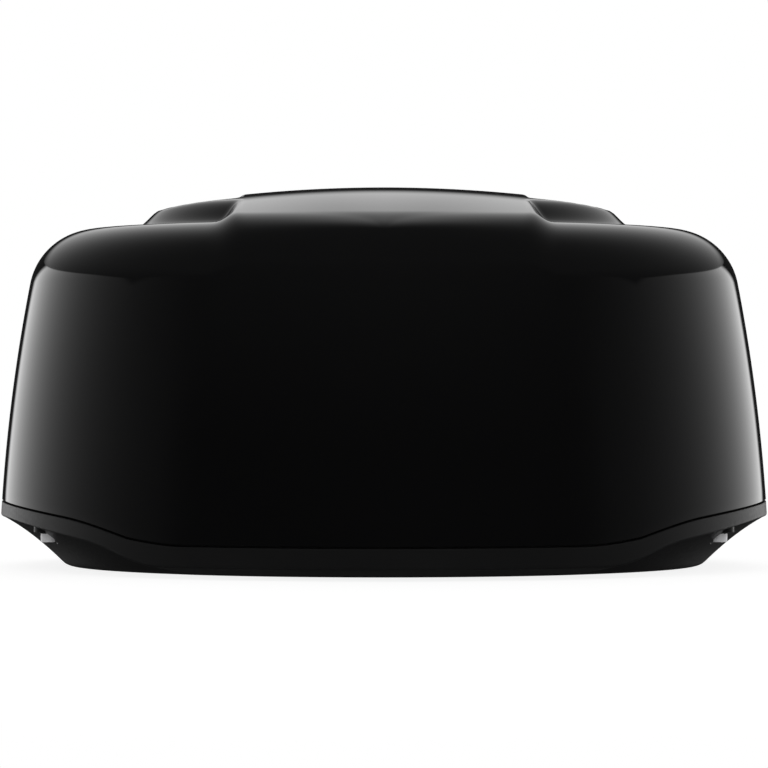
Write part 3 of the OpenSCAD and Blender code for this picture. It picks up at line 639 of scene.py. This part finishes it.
# Built in this order, under the CAD's own slot names
MATERIALS = {
    "gloss_black": gloss_black(),
    "casing_grey": satin_grey(),
    "seal_rubber": soft_rubber(),
    # Painted glint: the stainless steel is only half metallic and has a near-white matt share, so the screw
    # heads read bright under any lamp, as if catch-lit
    "stainless": metal("stainless_steel_with_painted_glint", rgb(0.72, 0.72, 0.73), rgb(0.9, 0.9, 0.91), 0.4, 0.54,
                       metallic=0.45),
    "bearing_steel": metal("bearing_steel", rgb(0.6, 0.6, 0.62), rgb(0.82, 0.82, 0.84), 0.08, 0.16),
    "tinned_steel": metal("tinned_sheet", rgb(0.55, 0.55, 0.54), rgb(0.76, 0.76, 0.74), 0.24, 0.4,
                          streak=(900, 40, 40)),
    "alloy": metal("passivated_alloy", rgb(0.5, 0.51, 0.53), rgb(0.7, 0.71, 0.73), 0.32, 0.46,
                   streak=(20, 700, 700)),
    "brass_parts": metal("brass", rgb(0.55, 0.38, 0.14), rgb(0.82, 0.62, 0.27), 0.2, 0.34),
    "black_nylon": plastic("black_nylon", rgb(0.008, 0.008, 0.008), rgb(0.017, 0.017, 0.017), 0.36, 0.5),
    "white_acetal": plastic("white_acetal", rgb(0.66, 0.65, 0.6), rgb(0.76, 0.75, 0.71), 0.28, 0.4),
    "motor_black": laminated_motor(),
    "board_green": circuit_board(),
    "patch_copper": metal("gold_plate", rgb(0.66, 0.42, 0.16), rgb(0.85, 0.6, 0.28), 0.2, 0.32),
    "cable_black": plastic("cable_jacket", rgb(0.01, 0.01, 0.01), rgb(0.02, 0.02, 0.02), 0.42, 0.56, 700),
}


def dress(piece, slot):
    """Gives a piece one material, picked by the CAD's slot name."""
    piece.data.materials.clear()
    piece.data.materials.append(MATERIALS[slot])
    return piece


def angles_around():
    """The angles at which every turned surface has its points."""
    return np.linspace(0, 2 * math.pi, AROUND, endpoint=False)


def rim_x(angles):
    """Distance of the dome's rim from the centre plane, at each angle."""
    return np.abs(DOME_R * np.cos(angles))


def at_four(x, y):
    """The four points that lie at plus or minus x and y."""
    return [(sx * x, sy * y) for sx in (-1, 1) for sy in (-1, 1)]


# ---------------------------------------------------------------- cover

def cover_shell():
    """The moulded cover: outer skin, rolled rim, inner flange and inner skin as one closed surface."""
    angles = angles_around()
    rim_z = seam_z(rim_x(angles)) + SEAM_GAP
    edge = 0.4
    wall_low_z = rim_z + RIM_T + 3
    rings = cover_rings(angles, wall_low_z, WALL_T, *INSIDE_STEPS)[::-1]
    flange_r = wall_r(wall_low_z, WALL_T)
    rings.append((flange_r - 0.8, rim_z + RIM_T + 0.6))
    rings.append((flange_r - 2.5, rim_z + RIM_T))
    inner_edge = np.full_like(angles, RIM_INNER_R)
    rounding, corner = 1.0, 0.3
    for dr, dz in ((rounding, RIM_T), (corner, RIM_T - corner), (0.0, RIM_T - rounding),
                   (0.0, rounding), (corner, corner), (rounding, 0.0)):
        rings.append((inner_edge + dr, rim_z + dz))
    outer_r = wall_r(rim_z)
    for angle in (90, 60, 30):
        a = math.radians(angle)
        rings.append((outer_r - edge + edge * math.cos(a), rim_z + edge - edge * math.sin(a)))
    rings += cover_rings(angles, rim_z + edge, 0.0, *OUTSIDE_STEPS)
    shell = turned_surface("radome_cover_shell", rings, angles)
    shade(make_normals_face_out(shell), 40)
    dress(shell, "gloss_black")
    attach(shell, "cover")
    return shell


def cover_bosses():
    """Four bosses that hold the cover's brass inserts, each with a fillet at its foot."""
    hole_r = 4.0
    boss_r = 8.0
    top = 56.0
    low = seam_z(SCREW_X) + SEAM_GAP
    outline = [(hole_r, low + 0.3), (hole_r + 0.3, low), (boss_r - 0.5, low), (boss_r, low + 0.5),
               (boss_r, top - 1.2), (boss_r - 0.4, top - 0.4), (boss_r - 1.2, top), (hole_r + 0.5, top),
               (hole_r, top - 0.5)]
    parts = [lathe("boss", outline, place) for place in at_four(SCREW_X, SCREW_Y)]
    piece = shade(joined("cover_bosses", parts))
    dress(piece, "gloss_black")
    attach(piece, "cover")
    return piece


# ---------------------------------------------------------------- lower casing

def casing_outer_rings(angles):
    """From the rim's inner edge, out over the rim face, down the band and under to the centre."""
    top_z = seam_z(rim_x(angles))
    outer_r = wall_r(top_z)
    edge = 0.35
    lip = 1.8
    rings = [(np.full_like(angles, r), top_z) for r in RIM_FACE_RINGS_R]
    for angle in (90, 60, 30, 0):
        a = math.radians(angle)
        rings.append((outer_r - edge + edge * math.cos(a), top_z - edge + edge * math.sin(a)))
    about_low_z = np.maximum(top_z - 10, 8.0)
    low_z = casing_under_z(wall_r(about_low_z) - lip, angles)
    band_steps = 8
    for i in range(1, band_steps):
        t = i / band_steps
        z = (top_z - edge) * (1 - t) + (low_z + lip) * t
        rings.append((wall_r(z), z))
    lip_steps = 6
    for i in range(lip_steps + 1):
        a = math.radians(90 * i / lip_steps)
        rings.append((wall_r(low_z + lip) - lip + lip * math.cos(a), low_z + lip - lip * math.sin(a)))
    start_r = wall_r(low_z + lip) - lip
    end_r = FOOT_R - 9
    under_steps = 44
    for i in range(1, under_steps + 1):
        t = i / under_steps
        r = start_r * (1 - t) + end_r * t
        rings.append((r, casing_under_z(r, angles)))
    rings.append((np.full_like(angles, FLOOR_RING_R), np.zeros_like(angles)))
    rings.append((np.zeros_like(angles), np.zeros_like(angles)))
    return rings


def casing_inner_rings(angles):
    """From the centre of the floor out and up the cavity's side to the rim's inner edge."""
    top_z = seam_z(rim_x(angles))
    rim_low = np.minimum(top_z - 0.6, CAVITY_H)
    share = (rim_low - FLOOR_T) / (CAVITY_H - FLOOR_T)
    side_r = CAVITY_FLOOR_R + (CAVITY_R - CAVITY_FLOOR_R) * share
    rings = [(np.zeros_like(angles), np.full_like(angles, FLOOR_T)),
             (np.full_like(angles, FLOOR_RING_R), np.full_like(angles, FLOOR_T)),
             (np.full_like(angles, FLOOR_EDGE_RING_R), np.full_like(angles, FLOOR_T)),
             (np.full_like(angles, CAVITY_FLOOR_R + 0.5), np.full_like(angles, FLOOR_T + 0.8))]
    for t in (0.15, 0.5, 0.85, 1.0):
        r = CAVITY_FLOOR_R + (side_r - CAVITY_FLOOR_R) * t
        rings.append((r, FLOOR_T + (rim_low - FLOOR_T) * t))
    rings.append((side_r + 0.2, top_z - 0.5))
    rings.append((side_r + 0.7, top_z))
    return rings


def underside_recess(shell):
    """Adds the raised box over the connector recess, then cuts the recess and its cable channel."""
    half_w, y0, y1, depth, skin = 50.0, 112.0, 182.0, 20.0, 4.0
    channel_half_w, channel_h = 16, 11.0
    tunnel_y, outside_y = 236.0, 300
    inside_z, below_z = 2.0, -6.0

    def block(name, low, high, rounding, operation):
        """Adds or cuts one block with rounded edges."""
        return combine(shell, round_edges(box_piece(name, low, high), rounding), operation)

    shell = block("roof", (-half_w - skin, y0 - skin, inside_z), (half_w + skin, y1 + skin, depth + skin),
                  2.0, "UNION")
    shell = block("tunnel", (-channel_half_w - skin, y1, inside_z),
                  (channel_half_w + skin, tunnel_y, channel_h + skin), 1.5, "UNION")
    shell = block("pocket", (-half_w, y0, below_z), (half_w, y1, depth), 3.0, "DIFFERENCE")
    return block("channel", (-channel_half_w, y1 - 8, below_z), (channel_half_w, outside_y, channel_h),
                 3.0, "DIFFERENCE")


def middle_of(node):
    """The middle of a CAD node in plan, and its half width."""
    low, high = box_mm(node)
    return (low.x + high.x) / 2, (low.y + high.y) / 2, (high.x - low.x) / 2


def drill_casing(shell):
    """Cuts the screw pockets, the mounting holes, the vent's seat and the connector holes."""
    pocket_r, insert_h = 6.5, 16
    vent_r, vent_rim_r, vent_seat = 6.5, 9.5, 1.5
    connector_flange = 4.9
    below_z, inside_z = -5, 20
    recess_z, above_recess_z = 10, 40
    drills = []
    for (screw_x, screw_y), (mount_x, mount_y) in zip(at_four(SCREW_X, SCREW_Y), at_four(MOUNT_X, MOUNT_Y)):
        drills.append(("pocket", screw_x, screw_y, pocket_r, below_z, SCREW_SEAT_Z))
        drills.append(("hole", mount_x, mount_y, MOUNT_INSERT_R, below_z, insert_h))
    vent_x, vent_y, _ = middle_of("breather_vent")
    drills.append(("vent_seat", vent_x, vent_y, vent_rim_r, below_z, vent_seat))
    drills.append(("vent_hole", vent_x, vent_y, vent_r, below_z, inside_z))
    for node in ("power_connector", "network_connector"):
        x, y, half_w = middle_of(node)
        drills.append(("socket", x, y, half_w - connector_flange, recess_z, above_recess_z))
    for drill in drills:
        shell = combine(shell, drill_piece(*drill), "DIFFERENCE")
    return shell


def casing_shell():
    """The moulded lower casing, with its recess and its holes."""
    angles = angles_around()
    rings = casing_inner_rings(angles) + casing_outer_rings(angles)
    shell = turned_surface("lower_casing_shell", rings, angles)
    make_normals_face_out(shell)
    shell = underside_recess(shell)
    shell = drill_casing(shell)
    shade(shell, 38)
    dress(shell, "casing_grey")
    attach(shell, "base")
    return shell


def casing_bosses():
    """Deck posts, insert bosses and screw bosses that rise from the casing's floor."""
    post_r, hole_r, post_top = 7.0, 2.2, DECK_LOW_Z
    post = [(hole_r, FLOOR_T), (post_r + 2.5, FLOOR_T), (post_r + 0.8, FLOOR_T + 1.0),
            (post_r, FLOOR_T + 3.5), (post_r - 0.3, post_top - 0.5), (post_r - 0.8, post_top),
            (hole_r, post_top)]
    core_r, boss_r, boss_top = 0.01, 11.0, 18
    insert_boss = [(core_r, FLOOR_T), (boss_r + 2.0, FLOOR_T), (boss_r + 0.6, FLOOR_T + 1.2),
                   (boss_r, FLOOR_T + 4), (boss_r - 0.2, boss_top - 0.7), (boss_r - 0.8, boss_top),
                   (core_r, boss_top)]
    bore_r, wall_outer_r, top = 2.75, 9.0, float(seam_z(SCREW_X))
    screw_boss = [(bore_r, SCREW_SEAT_Z), (wall_outer_r, SCREW_SEAT_Z), (wall_outer_r, top - 0.6),
                  (wall_outer_r - 0.5, top), (bore_r + 0.35, top), (bore_r, top - 0.4)]
    parts = []
    for degrees in range(0, 360, 60):
        a = math.radians(degrees)
        parts.append(lathe("post", post, (POST_RING_R * math.cos(a), POST_RING_R * math.sin(a))))
    for mount, screw in zip(at_four(MOUNT_X, MOUNT_Y), at_four(SCREW_X, SCREW_Y)):
        parts.append(lathe("insert_boss", insert_boss, mount))
        parts.append(lathe("screw_boss", screw_boss, screw))
    piece = shade(joined("casing_bosses", parts))
    dress(piece, "casing_grey")
    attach(piece, "base")
    return piece


def gasket_strip():
    """A round-edged rubber strip that fills the seam just inside the dome's skin."""
    angles = angles_around()
    clearance, squeeze, width = 0.02, 0.06, 6.0
    low = seam_z(rim_x(angles)) + clearance
    high = low + SEAM_GAP - squeeze
    inner, outer = GASKET_R - width, GASKET_R
    bulge = 0.35
    outline = [(inner + bulge, 0.0), (outer - bulge, 0.0), (outer, 0.5),
               (outer - bulge, 1.0), (inner + bulge, 1.0), (inner, 0.5)]
    rings = [(np.full_like(angles, r), low + (high - low) * t) for r, t in outline]
    rings.append(rings[0])
    strip = turned_surface("cover_gasket_strip", rings, angles)
    bm = bmesh.new()
    bm.from_mesh(strip.data)
    bmesh.ops.remove_doubles(bm, verts=bm.verts, dist=1e-7)
    bm.to_mesh(strip.data)
    bm.free()
    shade(make_normals_face_out(strip), 50)
    dress(strip, "seal_rubber")
    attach(strip, "base")
    return strip


# ---------------------------------------------------------------- carried-over CAD nodes

WELD_MM = 0.002
BEVEL_ABOVE_DEGREES = 35
DEFAULT_EDGE_MM = 0.15
SOFT_EDGE_MM = {
    "antenna_end_caps": 0.8, "motor_body": 0.5, "bearing_housing": 0.5, "antenna_tray": 0.4,
    "deck_plate": 0.4, "turntable": 0.4, "transceiver_can": 0.4, "antenna_bracket": 0.35,
    "motor_bracket": 0.35, "flare_plates": 0.25,
}
NO_BEVEL = {"bearing_balls", "drive_gear", "drive_pinion", "connector_pins", "ball_cages", "encoder_disc"}


def finish_cad_nodes(replaced):
    """Gives the CAD's other nodes their materials and small bevels."""
    slots = {entry["node"]: entry["material_slot"] for entry in frame["record"]["subparts"]}
    for name, obj in frame["nodes"].items():
        if name in replaced:
            continue
        dress(obj, slots[name])
        if name in NO_BEVEL:
            continue
        weld = obj.modifiers.new("weld", "WELD")
        weld.merge_threshold = WELD_MM * MM
        bevel = obj.modifiers.new("soft_edges", "BEVEL")
        bevel.width = SOFT_EDGE_MM.get(name, DEFAULT_EDGE_MM) * MM
        bevel.segments = 2
        bevel.limit_method = "ANGLE"
        bevel.angle_limit = math.radians(BEVEL_ABOVE_DEGREES)
        bevel.harden_normals = True


# ---------------------------------------------------------------- stage

CAMERA_LENS = 211.3
CAMERA_DISTANCE = 3.0
CAMERA_HEIGHT = 0.12
LIGHT_SIZE = 1.6
LIGHT_TARGET = Vector((0, 0, 0.1))
# Name, place and power of each area light
LIGHTS = (("key", (-1.4, -1.6, 2.2), 18), ("fill", (1.8, -0.8, 1.6), 10), ("back", (0.3, 2.0, 1.8), 10))


class Studio:
    """A small builder for the world's shader."""

    def __init__(self):
        world = bpy.data.worlds.new("studio")
        bpy.context.scene.world = world
        world.use_nodes = True
        self.tree = world.node_tree
        self.tree.nodes.clear()

    def node(self, kind, **settings):
        """Adds one node."""
        made = self.tree.nodes.new(kind)
        for key, value in settings.items():
            setattr(made, key, value)
        return made

    def put(self, socket, value):
        """Links a socket to another socket, or sets it to a number."""
        if isinstance(value, bpy.types.NodeSocket):
            self.tree.links.new(value, socket)
        else:
            socket.default_value = value

    def math(self, operation, a, b=0.0):
        """One sum on two values."""
        made = self.node("ShaderNodeMath", operation=operation)
        self.put(made.inputs[0], a)
        self.put(made.inputs[1], b)
        return made.outputs[0]

    def above(self, value, floor):
        """How far a value is above a floor, and 0 below it."""
        return self.math("MAXIMUM", self.math("SUBTRACT", value, floor), 0.0)

    def product(self, *values):
        """All the values multiplied together."""
        total = values[0]
        for value in values[1:]:
            total = self.math("MULTIPLY", total, value)
        return total

    def step(self, value, start, end):
        """0 on start's side and 1 on end's side, smooth between them. Either may be the larger."""
        made = self.node("ShaderNodeMapRange", interpolation_type="SMOOTHSTEP")
        self.put(made.inputs["Value"], value)
        low, high = min(start, end), max(start, end)
        to_low, to_high = (0.0, 1.0) if start < end else (1.0, 0.0)
        for key, number in zip(("From Min", "From Max", "To Min", "To Max"), (low, high, to_low, to_high)):
            self.put(made.inputs[key], number)
        return made.outputs[0]

    def fading(self, value, start, length, power):
        """1 up to start, then a smooth fall towards 0 whose pace is set by length."""
        fall = self.math("POWER", self.product(self.above(value, start), 1 / length), power)
        return self.math("EXPONENT", self.product(fall, -1.0))

    def background(self, strength):
        """White light of a given strength."""
        made = self.node("ShaderNodeBackground")
        self.put(made.inputs["Color"], (1, 1, 1, 1))
        self.put(made.inputs["Strength"], strength)
        return made.outputs[0]

    def choose(self, share, first, second):
        """The first shader where share is 0, and the second where it is 1."""
        made = self.node("ShaderNodeMixShader")
        for socket, value in zip(made.inputs, (share, first, second)):
            self.put(socket, value)
        return made.outputs[0]


def side_panel(w, x, y, z, azimuth, elevation):
    """A tall soft box on each side. Returns where it hides the backdrop, and how bright it is.

    over_edge is the height above the panel's upper edge, which slopes both from front to back and
    from side to side. Angles are in degrees.
    """
    drop_behind, drop_ahead, side_slope = 0.085, 0.35, (0.312, 0.29)
    front_end = (-0.6, -0.3)
    back_edge, back_lean, lean_from = (18, 23), 0.9, 4.0
    foot = (-24, -6)
    full_to, fade_length, fade_power, strength = 20, 35, 1.4, 1.5

    behind = w.product(w.math("MAXIMUM", y, 0.0), drop_behind)
    ahead = w.product(w.math("MAXIMUM", w.product(y, -1.0), 0.0), drop_ahead)
    over_edge = w.math("SUBTRACT", w.math("SUBTRACT", z, behind), ahead)
    slope = w.math("DIVIDE", over_edge, w.math("MAXIMUM", x, 0.02))
    share = w.product(w.step(slope, *side_slope), w.step(y, *front_end))
    lean = w.product(w.above(elevation, lean_from), back_lean)
    from_edge = w.math("SUBTRACT", azimuth, lean)
    fading = w.fading(azimuth, full_to, fade_length, fade_power)
    return share, w.product(fading, w.step(from_edge, *back_edge), w.step(elevation, *foot), strength)


def backdrop(w, azimuth, elevation):
    """The pale backdrop above and behind, a little dimmer in the middle, and a faint glow overhead."""
    dip, dip_edge = 0.33, (1, 5)
    low_edge, top_edge, fade_length, strength = (9, 14), (89, 62), 20, 1.15
    overhead_edge, overhead_strength = (8, 30), 0.05

    middle_dip = w.math("ADD", w.product(w.step(azimuth, *dip_edge), dip), 1 - dip)
    between = w.product(w.fading(azimuth, 0, fade_length, 1.0), w.step(elevation, *low_edge))
    glow = w.product(between, w.step(elevation, *top_edge), middle_dip, strength)
    return w.math("ADD", glow, w.product(w.step(elevation, *overhead_edge), overhead_strength))


def studio_world():
    """White to the camera, soft grey for lighting, and a dark studio with large soft boxes in reflections.

    Azimuth is the angle from straight behind the dome, alike on both sides, in degrees.
    """
    darkness, even_light = 0.016, 0.85
    w = Studio()
    parts = w.node("ShaderNodeSeparateXYZ")
    w.put(parts.inputs[0], w.node("ShaderNodeTexCoord").outputs["Generated"])
    x, y, z = parts.outputs
    side = w.math("ABSOLUTE", x)
    degrees = 180 / math.pi
    azimuth = w.product(w.math("ARCTAN2", side, y), degrees)
    elevation = w.product(w.math("ARCSINE", z), degrees)

    panel_share, panel_glow = side_panel(w, side, y, z, azimuth, elevation)
    above_panel = w.product(w.math("SUBTRACT", 1.0, panel_share), backdrop(w, azimuth, elevation))
    total = w.math("ADD", w.math("ADD", w.product(panel_share, panel_glow), above_panel), darkness)

    paths = w.node("ShaderNodeLightPath")
    lighting = w.choose(paths.outputs["Is Glossy Ray"], w.background(even_light), w.background(total))
    seen = w.choose(paths.outputs["Is Camera Ray"], lighting, w.background(1.0))
    w.put(w.node("ShaderNodeOutputWorld").inputs["Surface"], seen)


def floor():
    """The plain floor, just below the resting face and out of the reflections."""
    reach, drop = 2, 0.0005
    corners = [(-reach, -reach, 0), (reach, -reach, 0), (reach, reach, 0), (-reach, reach, 0)]
    plate = object_from_arrays("floor", corners, [(0, 1, 2, 3)])
    plate.location.z = -drop
    plate.data.materials.append(floor_surface())
    plate.visible_glossy = False


def soft_light(name, location, power):
    """A round area light turned to the dome, out of the reflections."""
    data = bpy.data.lights.new(name, "AREA")
    data.shape = "DISK"
    data.size = LIGHT_SIZE
    data.energy = power
    light = bpy.data.objects.new(name, data)
    light.location = location
    light.rotation_euler = (LIGHT_TARGET - Vector(location)).to_track_quat("-Z", "Y").to_euler()
    light.visible_glossy = False
    bpy.context.scene.collection.objects.link(light)


def camera():
    """A long lens level with the middle of the dome's front."""
    data = bpy.data.cameras.new("camera")
    data.lens = CAMERA_LENS
    data.sensor_width = 36.0
    data.clip_end = 50.0
    view = bpy.data.objects.new("camera", data)
    view.location = (0.0, -CAMERA_DISTANCE, CAMERA_HEIGHT)
    view.rotation_euler = (math.radians(90), 0, 0)
    bpy.context.scene.collection.objects.link(view)
    bpy.context.scene.camera = view


# ---------------------------------------------------------------- build

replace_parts(cover_shell(), "radome_cover")
cover_bosses()
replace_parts(casing_shell(), "lower_casing")
casing_bosses()
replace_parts(gasket_strip(), "cover_gasket")
finish_cad_nodes({"radome_cover", "lower_casing", "cover_gasket"})

studio_world()
floor()
for light_name, light_place, light_power in LIGHTS:
    soft_light(light_name, light_place, light_power)
camera()
bpy.context.scene.view_settings.view_transform = "Standard"
